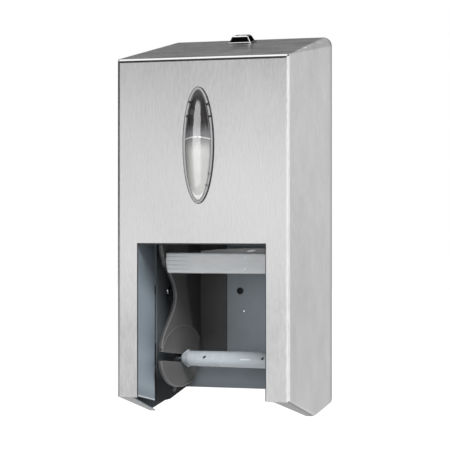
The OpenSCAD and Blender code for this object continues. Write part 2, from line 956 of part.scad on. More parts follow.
module arm_screws() {
    shank_d = arm_screw_d - 2 * run_fit;
    color([0.16, 0.16, 0.17])
        at_arm_screws() {
            bolt_way(shank_d, -plate_t - arm_base_t, 0);
            translate([0, -plate_t - arm_base_t, 0])
                rotate([-90, 0, 0])
                    difference() {
                        cylinder(d1 = shank_d + arm_screw_d, d2 = shank_d, h = arm_screw_d / 2);
                        translate([0, 0, -1])
                            cylinder(d = arm_screw_d * 0.6, h = 1.9, $fn = 6);
                    }
        }
}

// A crowned strap across the two arm bases, seen just above the stop bar
module arm_brace() {
    half = arm_in - pass_gap;
    low = base_z + brace_z - brace_h;
    crown_r = (half * half + brace_crown * brace_crown) / (2 * brace_crown);
    back = -plate_t - arm_base_t;
    color([0.29, 0.28, 0.27])
        translate([arm_x, 0, 0])
            back_from(back - brace_t, back)
                difference() {
                    intersection() {
                        translate([-half, low])
                            square([2 * half, 2 * brace_h]);
                        translate([0, base_z + brace_z - crown_r])
                            circle(r = crown_r, $fn = 360);
                    }
                    for (x = [-half / 2, 0, half / 2])
                        translate([x, low + brace_h / 2])
                            circle(d = brace_h / 3);
                }
}

/* ---- side buffers ---- */

buffer_rivet_d = 4;

module at_buffers() {
    translate([0, -0.64 * wing_d, base_z + 106])
        both_sides()
            children();
}

module side_buffers() {
    length = side_gap - pass_gap;
    foot_r = 9;
    neck_r = 6;
    color([0.85, 0.85, 0.82])
        at_buffers()
            translate([wing_out, 0, 0])
                rotate([0, 90, 0])
                    difference() {
                        rotate_extrude()
                            polygon([[0, 0], [foot_r, 0], [foot_r, 2], [neck_r, 4],
                                     [neck_r - 1, length - 1], [neck_r - 2, length], [0, length]]);
                        translate([0, 0, -1])
                            cylinder(d = buffer_rivet_d, h = 0.6 * side_gap + 1 + pass_gap);
                    }
}

module buffer_rivets() {
    shank = 0.6 * side_gap;
    color([0.80, 0.80, 0.81])
        at_buffers() {
            rod(buffer_rivet_d - 2 * run_fit, wing_in, wing_out + shank);
            translate([wing_in, 0, 0])
                rotate([0, -90, 0])
                    rotate_extrude()
                        polygon([[0, 0], [4, 0], [3.6, 1], [2.4, 1.9], [0, 2.3]]);
        }
}

/* ---- stop bar ---- */

bar_slant = 2;                             // the lower corners are this much shorter

// The bar's front view, in X and Z
module bar_outline(half, low, high) {
    bend = low + 0.4 * bar_h;
    polygon([[-half, high], [half, high], [half, bend], [half - bar_slant, low],
             [-half + bar_slant, low], [-half, bend]]);
}

module stop_bar() {
    half = arm_in - edge_rim_h - pass_gap;
    end = half - bar_slant;
    front = bar_front;
    low = base_z + bar_z - bar_h / 2;
    high = low + bar_h;
    corner_r = 2;
    groove = 0.35;
    groove_count = 4;
    color([0.73, 0.74, 0.75])
        translate([arm_x, 0, 0])
            difference() {
                union() {
                    intersection() {
                        across(-half, half)
                            difference() {
                                polygon(concat(
                                    arc([front + corner_r, low + corner_r], corner_r, 180, 270, 4),
                                    [[bar_rear, low], [bar_rear, high]],
                                    arc([front + corner_r, high - corner_r], corner_r, 90, 180, 4)));
                                translate([front + bar_wall, low + bar_wall])
                                    square([bar_d, bar_h - 2 * bar_wall]);
                            }
                        back_from(front - 1, bar_rear + 1)
                            bar_outline(half, low, high);
                    }
                    both_sides() {
                        across(end - bar_wall, end)
                            translate([front + 1, low + 1])
                                square([bar_d - 1, bar_h - 2]);
                        translate([0, -bar_y, bar_pivot_z])
                            rod(journal_d, end - bar_wall, arm_out - pass_gap);
                    }
                    for (side = [-1, 1])
                        translate([bar_pip_x, front, base_z + bar_z + side * bar_pip_gap / 2])
                            scale([1, 0.5, 1])
                                sphere(d = bar_pip_d);
                }
                for (i = [1 : groove_count])
                    translate([-half + 2, front - groove, low + i * bar_h / (groove_count + 1) - groove])
                        cube([bar_groove_l, 2 * groove, 2 * groove]);
            }
}

/* ---- spindles ---- */

head_t = 3;
cap_bore = axle_d + 2 * run_fit;
sleeve_hole_in = 29.6;                     // a hole's distance from the sleeve's middle

module axle() {
    rod(axle_d, -arm_out - pass_gap - head_t, arm_out + pass_gap + head_t);
}

module axle_heads() {
    both_sides()
        difference() {
            rod(axle_d + 7, arm_out + pass_gap, arm_out + pass_gap + head_t - 0.5);
            rod(axle_d, arm_out, arm_out + cut);
        }
}

// The sleeve has a moulding draft, and two small cross holes in its wall
module sleeve() {
    peg_hole = 2.2;
    difference() {
        translate([-sleeve_l / 2, 0, 0])
            rotate([0, 90, 0])
                cylinder(d1 = sleeve_d1, d2 = sleeve_d2, h = sleeve_l);
        rod(sleeve_d1 - 2 * sleeve_wall, -sleeve_l, sleeve_l);
        for (x = [-sleeve_hole_in, sleeve_hole_in + 6])
            translate([x, -sleeve_d2, 2])
                rotate([-90, 0, 0])
                    cylinder(d = peg_hole, h = sleeve_d2);
    }
}

// Each cap has a spigot in the sleeve, a cone that points into the slot, and two fins along the cone
module end_caps() {
    spigot = 9;
    spigot_r = sleeve_d1 / 2 - sleeve_wall - run_fit;
    face = sleeve_l / 2;
    nose = arm_in - edge_rim_h - pass_gap - face;
    nose_d = axle_d + 1.6;
    fin_w = 2.4;
    fin_r = sleeve_d1 / 2 + 1.2;
    both_sides()
        translate([face, 0, 0])
            rotate([0, 90, 0])
                difference() {
                    union() {
                        translate([0, 0, -spigot])
                            cylinder(r = spigot_r, h = spigot + tiny);
                        cylinder(d1 = sleeve_d1, d2 = nose_d, h = nose);
                        for (turn = [0, 180])
                            rotate([90, 0, turn])
                                translate([0, 0, -fin_w / 2])
                                    linear_extrude(fin_w)
                                        polygon([[nose_d / 2 - 0.2, 0.4], [fin_r, 0.4], [fin_r, 2],
                                                 [nose_d / 2 + 0.4, nose - 0.4],
                                                 [nose_d / 2 - 0.2, nose - 0.4]]);
                    }
                    translate([0, 0, -spigot - 1])
                        cylinder(d = cap_bore, h = spigot + nose + 2);
                }
}

module at_spindle(z) {
    translate([arm_x, -spindle_y, z])
        children();
}

module lower_axle() { color([0.55, 0.56, 0.57]) at_spindle(lower_z) axle(); }
module upper_axle() { color([0.55, 0.56, 0.57]) at_spindle(upper_z) axle(); }
module lower_axle_heads() { color([0.70, 0.71, 0.72]) at_spindle(lower_z) axle_heads(); }
module upper_axle_heads() { color([0.70, 0.71, 0.72]) at_spindle(upper_z) axle_heads(); }
module lower_sleeve() { color([0.80, 0.82, 0.83]) at_spindle(lower_z) sleeve(); }
module upper_sleeve() { color([0.80, 0.82, 0.83]) at_spindle(upper_z) sleeve(); }
module lower_end_caps() { color([0.82, 0.84, 0.85]) at_spindle(lower_z) end_caps(); }
module upper_end_caps() { color([0.82, 0.84, 0.85]) at_spindle(upper_z) end_caps(); }

cover_shell();
window_lens();
window_retainer();
lock_housing();
lock_washer();
lock_nut();
lock_core();
lock_cam();
cam_screw();
hinge_lugs();
hinge_pins();
hinge_clips();
back_plate();
hole_plug();
hinge_bushes();
lock_keeper();
keeper_rivets();
left_arm();
right_arm();
arm_screws();
arm_brace();
side_buffers();
buffer_rivets();
stop_bar();
lower_axle();
lower_axle_heads();
lower_sleeve();
lower_end_caps();
upper_axle();
upper_axle_heads();
upper_sleeve();
upper_end_caps();
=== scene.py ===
# %% [markdown]
# # A twin toilet roll dispenser in brushed steel
# The solids of this dispenser come from CAD and are already in place, so this lesson is about looks: a
# camera, a plain studio, a finish for every piece, and the small details that CAD leaves out. All sizes are
# in metres. The front faces -Y, the wall is the plane y = 0 and the origin is in the middle of the wall
# holes. We start by loading the packed solids.

# %% Load the solids
import math

import bpy
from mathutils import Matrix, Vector


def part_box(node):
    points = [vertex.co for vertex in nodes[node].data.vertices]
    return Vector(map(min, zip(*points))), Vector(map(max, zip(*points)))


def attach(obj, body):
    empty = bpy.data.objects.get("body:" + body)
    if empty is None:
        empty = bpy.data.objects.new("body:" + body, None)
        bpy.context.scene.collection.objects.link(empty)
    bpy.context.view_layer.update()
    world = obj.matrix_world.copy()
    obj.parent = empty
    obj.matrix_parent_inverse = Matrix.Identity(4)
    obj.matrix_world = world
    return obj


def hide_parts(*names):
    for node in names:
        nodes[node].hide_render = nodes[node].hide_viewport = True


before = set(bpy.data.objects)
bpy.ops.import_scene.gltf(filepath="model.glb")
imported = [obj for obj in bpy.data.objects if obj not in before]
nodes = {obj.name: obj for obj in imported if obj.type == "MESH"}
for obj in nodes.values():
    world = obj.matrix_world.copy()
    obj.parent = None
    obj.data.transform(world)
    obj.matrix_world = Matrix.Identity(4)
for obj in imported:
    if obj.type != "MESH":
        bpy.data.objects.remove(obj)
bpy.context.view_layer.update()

# %% [markdown]
# ## Camera
# The dispenser is seen from its right, a little below the middle of its height, through a long lens. A long
# lens keeps the upright edges almost parallel. The place, the turn and the focal length were worked out from
# the perspective of the box's edges, so they are plain numbers here.

# %% Camera
CAMERA_PLACE = (0.6220, -1.8597, 0.00335)
CAMERA_TURN = math.radians(19.308)
LENS_MM, SENSOR_MM = 144.04, 36.0

camera_data = bpy.data.cameras.new("camera")
camera_data.lens = LENS_MM
camera_data.sensor_width = SENSOR_MM
camera = bpy.data.objects.new("camera", camera_data)
camera.location = CAMERA_PLACE
camera.rotation_euler = (math.radians(90), 0, CAMERA_TURN)
bpy.context.scene.collection.objects.link(camera)
bpy.context.scene.camera = camera
bpy.context.scene.view_settings.view_transform = "Standard"
print("camera at", tuple(round(v, 3) for v in camera.location), "lens", LENS_MM, "mm")

# %% [markdown]
# ## Shader helpers
# A finish is a small network of shader nodes. Writing it as arithmetic is shorter than wiring it by hand, so
# `Wire` stands for one output of a node: adding, multiplying or comparing wires adds Math nodes. Most masks
# in this lesson are a measure that goes through `ramp` or `fall`, a soft step up or down between two limits.

# %% One output of a node
class Wire:
    """One output of a shader node. Arithmetic on wires adds Math nodes to the same finish."""

    def __init__(self, finish, socket):
        self.finish = finish
        self.socket = socket

    def __add__(self, other):
        return self.finish.math("ADD", self, other)

    def __radd__(self, other):
        return self.finish.math("ADD", other, self)

    def __sub__(self, other):
        return self.finish.math("SUBTRACT", self, other)

    def __rsub__(self, other):
        return self.finish.math("SUBTRACT", other, self)

    def __mul__(self, other):
        return self.finish.math("MULTIPLY", self, other)

    def __rmul__(self, other):
        return self.finish.math("MULTIPLY", other, self)

    def __truediv__(self, other):
        return self.finish.math("DIVIDE", self, other)

    def __gt__(self, other):
        return self.finish.math("GREATER_THAN", self, other)

    def __lt__(self, other):
        return self.finish.math("LESS_THAN", self, other)

    def __neg__(self):
        return self.finish.math("MULTIPLY", self, -1.0)

    def __abs__(self):
        return self.finish.math("ABSOLUTE", self)

    def root(self):
        return self.finish.math("SQRT", self)

    def zigzag(self, top):
        """Rises from 0 to top and falls back, again and again."""
        return self.finish.math("PINGPONG", self, top)

    def ramp(self, low, high):
        """0 below low and 1 above high, with a smooth rise between them."""
        settings = {"interpolation_type": "SMOOTHSTEP"}
        sockets = {"Value": self, "From Min": low, "From Max": high}
        return self.finish.node("ShaderNodeMapRange", settings, sockets).out()

    def fall(self, low, high):
        """1 below low and 0 above high."""
        return 1 - self.ramp(low, high)

    def near(self, middle, inner, outer):
        """1 up to inner away from a middle value, and 0 from outer on."""
        return abs(self - middle).fall(inner, outer)

    def swing(self, amount):
        """A pattern from 0 to 1 as a change about 0, times an amount."""
        return (self - 0.5) * amount


def distance(first, second):
    """How far a point is from the zero of two measures."""
    return (first * first + second * second).root()


print("wires can", ", ".join(name for name in vars(Wire) if not name.startswith("_")))

# %% [markdown]
# ## Finishes
# `Finish` owns one material. Its `node` method makes any node: first its settings, then its sockets, each of
# which gets a value or a wire. The short methods after it make what nearly every finish needs: a place on
# the piece, noise, a mix of two colours, coats of colour laid over each other through masks, and bumps.
# `shade` sets the sockets of the main shader.

# %% One finish
class Made:
    """A node that was just made; out gives one of its outputs as a wire."""

    def __init__(self, finish, node):
        self.finish = finish
        self.node = node

    def out(self, name=None):
        live = [s for s in self.node.outputs if s.enabled]
        return Wire(self.finish, live[0] if name is None else next(s for s in live if s.name == name))


class Finish:
    """One procedural material."""

    def __init__(self, name):
        self.material = bpy.data.materials.new(name)
        self.material.use_nodes = True
        self.tree = self.material.node_tree
        self.shader = self.tree.nodes["Principled BSDF"]

    def plug(self, socket, value):
        if isinstance(value, Wire):
            self.tree.links.new(value.socket, socket)
        elif socket.type == "RGBA" and len(value) == 3:
            socket.default_value = (*value, 1.0)
        else:
            socket.default_value = value

    def node(self, kind, settings=None, sockets=None):
        """Makes one node. Its sockets are named, or numbered where two have the same name."""
        made = self.tree.nodes.new(kind)
        for name, value in (settings or {}).items():
            setattr(made, name, value)
        for key, value in (sockets or {}).items():
            live = [s for s in made.inputs if s.enabled and s.name == key]
            self.plug(live[0] if live else made.inputs[key], value)
        return Made(self, made)

    def math(self, operation, first, second=0.0):
        return self.node("ShaderNodeMath", {"operation": operation}, {0: first, 1: second}).out()

    def shade(self, **sockets):
        for name, value in sockets.items():
            self.plug(self.shader.inputs[name.replace("_", " ")], value)

    def place(self, kind="Object"):
        """Where a point is on its piece, as a vector."""
        return self.node("ShaderNodeTexCoord").out(kind)

    def axes(self, vector):
        """The three parts of a vector."""
        parts = self.node("ShaderNodeSeparateXYZ", {}, {"Vector": vector})
        return parts.out("X"), parts.out("Y"), parts.out("Z")

    def noise(self, waves, detail=2.0, rough=0.5):
        """A noise pattern about the middle of 0 to 1, with so many waves a metre along each axis."""
        where = self.node("ShaderNodeMapping", {}, {"Vector": self.place(), "Scale": waves}).out()
        sockets = {"Vector": where, "Scale": 1.0, "Detail": detail, "Roughness": rough}
        return self.node("ShaderNodeTexNoise", {}, sockets).out("Fac")

    def mix(self, factor, first, second):
        """A colour between two colours."""
        sockets = {"Factor": factor, "A": first, "B": second}
        return self.node("ShaderNodeMix", {"data_type": "RGBA"}, sockets).out()

    def coats(self, colour, *layers):
        """A colour with layers over it, each of them a mask and the layer's own colour."""
        for mask, layer in layers:
            colour = self.mix(mask, colour, layer)
        return colour

    def bump(self, height, depth, strength=1.0):
        sockets = {"Height": height, "Distance": depth, "Strength": strength}
        return self.node("ShaderNodeBump", {}, sockets).out()


def dress(names, finish):
    """Gives a finish to CAD nodes."""
    for name in names:
        slots = nodes[name].data.materials
        slots.clear()
        slots.append(finish.material)
    print(finish.material.name, "on", ", ".join(names))


def grey_tone(value):
    return (value, value, value)


print("finishes can", ", ".join(name for name in vars(Finish) if not name.startswith("_")))

# %% [markdown]
# ## Studio
# A wall dispenser hangs free, so the floor is a plain pale sheet well below it, and the background is white
# through the world. A Light Path node tells the rays apart: the camera and clear plastic see plain white,
# and the soft light on the pieces is a little under it. Polished and brushed metal show what stands round
# them, and in a real studio that is never white all over. Dark cards stand at the left and high in front,
# and the ceiling behind is dim. A bright card stands at the right, another hangs overhead, and a bright band
# runs at eye level in front. They give each bend of the sheet its dark and bright line. Each card is a soft
# step on the direction that a ray leaves in, which runs from -1 to 1 along each axis.

# %% World
class Studio(Finish):
    """The world's own network, wired in the same way as a finish."""

    def __init__(self, name):
        self.world = bpy.data.worlds.new(name)
        self.world.use_nodes = True
        self.tree = self.world.node_tree
        self.shader = self.tree.nodes["Background"]


studio = Studio("studio")
way_x, way_y, way_z = studio.axes(studio.place("Generated"))
level = abs(way_z).fall(0.35, 0.75)
right_card = way_x.ramp(0.10, 0.55) * level
overhead = way_z.ramp(0.74, 0.90)
eye_level = way_z.near(-0.035, 0.0, 0.11) * (-way_y).ramp(0.4, 0.8) * (0.7 + way_x.ramp(-0.50, -0.20) * 0.5)
high_card = way_z.ramp(0.05, 0.17) * way_z.fall(0.80, 0.90) * way_x.fall(0.40, 0.70)
high_card = high_card * (-way_y).ramp(0.0, 0.35)
left_card = (-way_x).ramp(0.40, 0.76) * way_y.fall(0.40, 0.80) * level
rear_wall = way_y.ramp(0.2, 0.7) * way_z.fall(0.48, 0.66)
rear_high = rear_wall * way_z.ramp(0.08, 0.22)
rear_ceiling = rear_high * (-way_x).ramp(0.14, 0.28)
print("cards:", len(studio.tree.nodes), "nodes")

# %% Light of the cards
SOFT_LIGHT = 0.52           # what plastic and paint get from all round
RIGHT_CARD = 1.12           # what metal sees at its right
OVERHEAD = 1.12             # straight above it
EYE_LEVEL = 1.60            # straight in front, in the band at eye level
HIGH_CARD = 0.05            # high up in front
LEFT_CARD = 0.08            # at its left
REAR_WALL = 0.66            # behind it
REAR_HIGH = 0.48            # behind it, above its top
REAR_CEILING = 0.17         # the same, more to the left

metal_sees = 1
for card, light in ((right_card, RIGHT_CARD), (overhead, OVERHEAD), (eye_level, EYE_LEVEL)):
    metal_sees = metal_sees + card * (light - 1)
dark_cards = ((high_card, HIGH_CARD), (left_card, LEFT_CARD), (rear_wall, REAR_WALL),
              (rear_high, REAR_HIGH / REAR_WALL), (rear_ceiling, REAR_CEILING / REAR_HIGH))
for card, light in dark_cards:
    metal_sees = metal_sees * (1 - card * (1 - light))
rays = studio.node("ShaderNodeLightPath")
seen = rays.out("Is Camera Ray") + rays.out("Is Transmission Ray")
mirrored = rays.out("Is Glossy Ray")
strength = seen + mirrored * metal_sees + (1 - (seen + mirrored)) * SOFT_LIGHT
studio.shade(Color=grey_tone(1.0), Strength=strength)
bpy.context.scene.world = studio.world
print("world:", len(studio.tree.nodes), "nodes")

# %% [markdown]
# ## Floor
# The floor lies under the free-hanging box and keeps its shadow. Pale paper that is lit by soft light alone
# would look grey against the white background, so it glows a little. Metal sees the floor too, and there the
# glow differs from place to place, as it does in a studio where one side is brighter: this puts the slow
# change of tone on the front panel.

# %% Floor
FLOOR_SIZE, FLOOR_Z = 30, -0.62
FLOOR_SEEN = 0.80           # the glow that the camera sees
FLOOR_MIRRORED = 0.26       # the glow that metal sees, and what is added to it in three places
RIGHT_GLOW, REAR_GLOW, FAR_GLOW = 0.45, 0.10, 0.55

bpy.ops.mesh.primitive_plane_add(size=FLOOR_SIZE, location=(0, 0, FLOOR_Z))
floor = bpy.context.object
floor.name = "floor"
paper = Finish("pale_paper")
x, y, _ = paper.axes(paper.place())
at_right = x.ramp(0.3, 1.5) * (x - y * 0.6).ramp(0.5, 2.0)
at_rear = y.ramp(0.0, 2.0)
far_in_front = (-y).ramp(6.0, 14.0)
mirrored_glow = FLOOR_MIRRORED + at_right * RIGHT_GLOW + at_rear * REAR_GLOW + far_in_front * FAR_GLOW
rays = paper.node("ShaderNodeLightPath")
seen = rays.out("Is Camera Ray") + rays.out("Is Transmission Ray")
paper.shade(
    Base_Color=grey_tone(0.55),
    Roughness=0.9,
    Specular_IOR_Level=0.0,
    Emission_Color=seen * FLOOR_SEEN + rays.out("Is Glossy Ray") * mirrored_glow,
    Emission_Strength=1.0,
)
floor.data.materials.append(paper.material)
print("floor at", FLOOR_Z)

# %% [markdown]
# ## Lamps
# Area lamps are soft because they are large. Each lamp stands at a compass angle and a height angle from the
# front, and is turned by the line between it and its target. The two main lamps light plastic and paint
# only: brushed steel already shows the bright studio, and a lamp on top would burn it out. A third one is
# linked to the window alone, whose clear dome needs a strong, wide light to show a highlight at all.

# %% Lamps
LAMP_TARGET = Vector((0.0, -0.1, 0.0))


def around(azimuth, elevation, reach):
    """A place by its compass angle from the front, its height angle and its distance."""
    flat = reach * math.cos(math.radians(elevation))
    turn = math.radians(azimuth)
    return Vector((flat * math.sin(turn), -flat * math.cos(turn), reach * math.sin(math.radians(elevation))))


def lamp(name, place, width, height, power):
    data = bpy.data.lights.new(name, "AREA")
    data.shape = "RECTANGLE"
    data.size = width
    data.size_y = height
    data.energy = power
    item = bpy.data.objects.new(name, data)
    item.location = place
    item.rotation_euler = (LAMP_TARGET - place).to_track_quat("-Z", "Y").to_euler()
    item.visible_camera = False
    bpy.context.scene.collection.objects.link(item)
    return item


key = lamp("key", around(azimuth=30, elevation=36, reach=2.4), width=0.8, height=0.8, power=56)
fill = lamp("fill", around(azimuth=-8, elevation=3, reach=2.6), width=1.6, height=1.2, power=18)
for item in (key, fill):
    item.visible_glossy = False
window_glow = lamp("window_glow", around(azimuth=-15, elevation=3, reach=2), width=1.9, height=2.2, power=88)
window_glow.data.shape = "ELLIPSE"
window_glow.visible_diffuse = False

# %% [markdown]
# ## Brushed steel of the cover
# Brushed steel has fine scratches that all run one way: upright on the front and sides, and front to back on
# the top. They are noise, squeezed hard across the grain and stretched along it. Larger, softer noise
# gives the cloudy patches that handling leaves. An image would show a seam at each bend, while noise on
# Object coordinates runs round the sheet.

# %% Grain
GRAIN, CLOUD, WIDE_CLOUD, ROOF_CLOUD = 1.2, 0.8, 0.6, 2.6      # how far each pattern moves the tone

steel = Finish("brushed_steel")
x, y, z = steel.axes(steel.place())
facing_x, facing_y, facing_z = steel.axes(steel.place("Normal"))
on_top = abs(facing_z).ramp(0.5, 0.8)
grain_up = steel.noise((900, 900, 120), 3.0, 0.65)
grain_back = steel.noise((120, 260, 260), 3.0, 0.62)
grain = grain_up * (1 - on_top) + grain_back * on_top
roof_cloud = steel.noise((16, 75, 75), 3.0, 0.6)
cloud = steel.noise((34, 34, 24), 3.0, 0.6)
wide_cloud = steel.noise((9, 9, 7), 1.0, 0.5)
tone = 0.5 + grain.swing(GRAIN) + cloud.swing(CLOUD) + wide_cloud.swing(WIDE_CLOUD)
tone = tone + roof_cloud.swing(ROOF_CLOUD) * on_top
print("grain:", len(steel.tree.nodes), "nodes")

# %% [markdown]
# Along the front fold, where a hand and a cloth rub most, the sheet is smoother, and a bright line is painted
# on it as a highlight. The rear edge and the slanted undersides of the legs are painted darker, as the shade
# of the wall and the floor close by. Each of these is a coat of colour, and its mask comes from where the
# sheet is or which way it faces.

# %% Outside of the sheet
FOOT_Z = -0.160             # the legs' undersides lie below this

cover_low, cover_high = (Vector(corner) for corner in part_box("cover_shell"))
to_rear = cover_high.y - y
# painted shade: darker near the rear edge and on the legs' slanted undersides
rear_edge_shade = to_rear.fall(0.0038, 0.0055) * 0.45 + to_rear.fall(0.002, 0.016) * 0.20
leg_underside_shade = (-facing_z).ramp(0.4, 0.8) * z.fall(FOOT_Z - 0.010, FOOT_Z)
right_leg_underside_shade = leg_underside_shade * x.ramp(0.0, 0.02)
# a painted highlight along the front fold, where the sheet is also made smoother
fold_polish_and_highlight = facing_z.ramp(0.02, 0.12) * facing_z.fall(0.94, 0.975) * (-facing_y).ramp(0.24, 0.34)
outside_colour = steel.coats(
    steel.mix(tone, grey_tone(0.60), grey_tone(0.86)),
    (rear_edge_shade, grey_tone(0.20)),
    (leg_underside_shade * 0.8, grey_tone(0.25)),
    (right_leg_underside_shade * 0.45, grey_tone(0.04)),
    (fold_polish_and_highlight * 0.8, grey_tone(0.90)),
)
print("rear edge at", round(cover_high.y * 1000, 2), "mm")

# %% [markdown]
# Where a face looks inwards the sheet keeps its smooth, bluish mill finish. A face does so when its normal
# points back to the middle plane, to the wall, or downwards anywhere above the feet. The flanges round the
# cut-out are such faces, and they carry the small things that make a bent sheet look real: a dark cut edge
# at the front, a bright raw edge along the slanted foot with a dim band above it, and shade under the lintel.

# %% Inside of the sheet
SIDE_FROM = 0.086           # the sides are further than this from the middle
CUTOUT_TO = 0.070           # the cut-out ends here
FLANGE_FROM, FLANGE_TO = 0.0655, 0.0720
FLANGE_FOOT, FOOT_SLOPE = -0.171, 0.1837        # the foot's height at the front, and its fall to the rear
SHADE_Z, SHADE_SLOPE = -0.060, 0.6              # the same for the shade under the lintel

from_front = y - cover_low.y
from_middle = abs(x)
on_flange = (from_middle > FLANGE_FROM) * (from_middle < FLANGE_TO)
above_foot = z - FLANGE_FOOT + from_front * FOOT_SLOPE
above_shade = z - SHADE_Z + from_front * SHADE_SLOPE
# painted shade: the sides' inner faces turn nearly black towards their lower ends, and rougher
dull_shaded_end = z.fall(-0.165, -0.130) * (from_middle > SIDE_FROM)
cut_edge = from_front.fall(0.0015, 0.0025) * (from_middle < CUTOUT_TO)
inside_colour = steel.coats(
    steel.mix(cloud, (0.345, 0.41, 0.465), (0.42, 0.495, 0.56)),
    (dull_shaded_end * 0.85, (0.03, 0.03, 0.035)),
    (cut_edge * 0.8, (0.05, 0.06, 0.07)),
    (above_foot.fall(0.004, 0.016) * on_flange * 0.45, (0.10, 0.13, 0.15)),
    (above_foot.fall(0.0011, 0.0018) * on_flange * 0.8, (0.75, 0.80, 0.83)),
    (above_shade.ramp(0.0, 0.030) * on_flange * 0.45, (0.06, 0.07, 0.08)),
)
inwards = (x * facing_x < -0.02) + (facing_y > 0.5) + (facing_z < -0.5) * (z > FOOT_Z)
smooth = inwards.ramp(0.2, 0.8)
print("flanges from", FLANGE_FROM, "to", FLANGE_TO, "m off the middle")

# %% [markdown]
# The outside is metal, and its grain is both a slight change of roughness and a very low bump. The inside
# looks duller and less like a mirror, so it is mostly a bluish paint-like colour with a little metal in it.

# %% Brushed steel
roughness = 0.23 - fold_polish_and_highlight * 0.12 + grain.swing(0.10) + cloud.swing(0.08)
steel.shade(
    Base_Color=steel.mix(smooth, outside_colour, inside_colour),
    Metallic=1 - smooth * 0.75,
    Roughness=roughness + smooth * 0.2 + smooth * dull_shaded_end * 0.5,
    Normal=steel.bump(grain * (1 - smooth), 0.00004, 0.4),
)
dress(["cover_shell"], steel)

# %% [markdown]
# ## Plain steel of the chassis
# The folded plate behind is left as it comes from the mill: bluish, softly cloudy and a little shinier. Its
# wings' lower corners lie in deep shade, which a light coat of black there helps to show.

# %% Chassis steel
WING_FROM = 0.070           # the wings are further than this from the middle

plate = Finish("plain_steel")
x, _, z = plate.axes(plate.place())
cloud = plate.noise((14, 14, 20), 4.0, 0.6)
fine = plate.noise((90, 90, 60), 2.0, 0.5)
low_corner = z.fall(-0.162, -0.132) * (abs(x) > WING_FROM)
tone = 0.5 + cloud.swing(0.8) + fine.swing(0.3)
plate_colour = plate.mix(tone, (0.195, 0.222, 0.245), (0.290, 0.322, 0.354))
plate.shade(
    Base_Color=plate.mix(low_corner * 0.9, plate_colour, (0.012, 0.012, 0.014)),
    Metallic=0.35,
    Roughness=0.42 + cloud.swing(0.15) + low_corner * 0.5,
)
dress(["back_plate", "lock_keeper"], plate)

# %% [markdown]
# ## Dark plastic of the arms
# The arms are moulded in a dark brown-grey plastic with a fine spark texture. Their raised rims are painted
# paler, as a highlight along their edges, and the recessed faces outside the rims and near the base are
# painted darker, as the shade in them. Rim and recess differ only in how far they are from the arms' middle
# plane, so one measure tells them apart.

# %% Arms
ARM_WALL, ARM_RIM, ARM_RECESS = 0.003, 0.0008, 0.0012
ARM_BASE = -0.014           # the arms' feet lie behind this

arms_left, arms_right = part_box("left_arm")[0][0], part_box("right_arm")[1][0]
arms_middle = (arms_left + arms_right) / 2
arm_face = (arms_right - arms_left) / 2 - ARM_WALL
dark = Finish("dark_plastic")
x, y, _ = dark.axes(dark.place())
mottle = dark.noise((60, 60, 60), 4.0, 0.6)
spark = dark.noise((900, 900, 900), 2.0, 0.5)
from_middle = abs(x - arms_middle)
at_base = y.ramp(ARM_BASE, ARM_BASE + 0.004)
# painted highlight on the rims, and painted shade in the recesses and near the wall
rim_highlight = from_middle.fall(arm_face - ARM_RIM * 0.6, arm_face - ARM_RIM * 0.4) * (1 - at_base)
recess_shade = from_middle.ramp(arm_face + ARM_RECESS * 0.4, arm_face + ARM_RECESS * 0.8)
recess_shade = dark.math("MAXIMUM", recess_shade, at_base)
dark.shade(
    Base_Color=dark.coats(
        dark.mix(mottle, (0.100, 0.098, 0.097), (0.150, 0.147, 0.144)),
        (rim_highlight * 0.7, (0.20, 0.198, 0.196)),
        (recess_shade * 0.85, (0.044, 0.043, 0.046)),
    ),
    Roughness=0.46 + mottle.swing(0.2),
    Normal=dark.bump(spark, 0.0003, 0.25),
)
dress(["left_arm", "right_arm", "hinge_bushes"], dark)

# %% [markdown]
# ## Buffers and strap
# Two blue-grey buffers keep the cover's sides off the wings. The strap ties the two arms together behind the
# stop bar. It stands deep in the box, where little light comes, so its plastic is made pale to show at all,
# and its crown has one small glint, an oval mask that leans a little.

# %% Blue-grey buffers
soft_pad = Finish("buffer_plastic")
mottle = soft_pad.noise((90, 90, 90), 3.0, 0.6)
soft_pad.shade(Base_Color=soft_pad.mix(mottle, (0.20, 0.235, 0.26), (0.27, 0.31, 0.34)), Roughness=0.5)
dress(["side_buffers"], soft_pad)

# %% Strap between the arms
GLINT_X, GLINT_Z = 0.0036, -0.0246
GLINT_LENGTH, GLINT_HEIGHT = 0.0095, 0.0020
GLINT_SHEAR, GLINT_LEAN = 0.5, 0.12

strap = Finish("strap_plastic")
x, _, z = strap.axes(strap.place())
mottle = strap.noise((40, 40, 40), 3.0, 0.6)
beside, above = x - GLINT_X, z - GLINT_Z
along = (beside - above * GLINT_SHEAR) / (GLINT_LENGTH / 2)
across = (above - beside * GLINT_LEAN) / (GLINT_HEIGHT / 2)
# a painted highlight: the oval is paler in colour and also glows a little
on_glint = (along * along + across * across).fall(0.6, 1.3)
strap_colour = strap.mix(mottle, (0.58, 0.58, 0.585), (0.72, 0.72, 0.725))
strap.shade(
    Base_Color=strap.mix(on_glint * 0.5, strap_colour, grey_tone(1.0)),
    Emission_Color=strap.mix(on_glint, grey_tone(0.0), (0.35, 0.36, 0.37)),
    Emission_Strength=0.6,
    Roughness=0.35,
    Normal=strap.bump(mottle, 0.0003, 0.2),
)
dress(["arm_brace"], strap)

# %% [markdown]
# ## Pale plastic of the spindles
# A roll turns on a pale satin tube with a cap at each end. The melt flowed along the tube when it was
# moulded, so its faint streaks run that way. The lower tube, which one sees through the cut-out, also has
# two small slanted slots painted dark, as the shade inside them, and one bright streak on its front, which is
# a painted highlight. They are masks laid over the plastic's colour.

# %% Slots and streak of the lower sleeve
SLOT_OFFSETS, SLOT_RISE = (-0.0291, 0.0356), 0.002
SLOT_LONG, SLOT_WIDE = 0.0024, 0.0011
STREAK_FROM, STREAK_TO, STREAK_Z = 0.0129, 0.0239, -0.13765

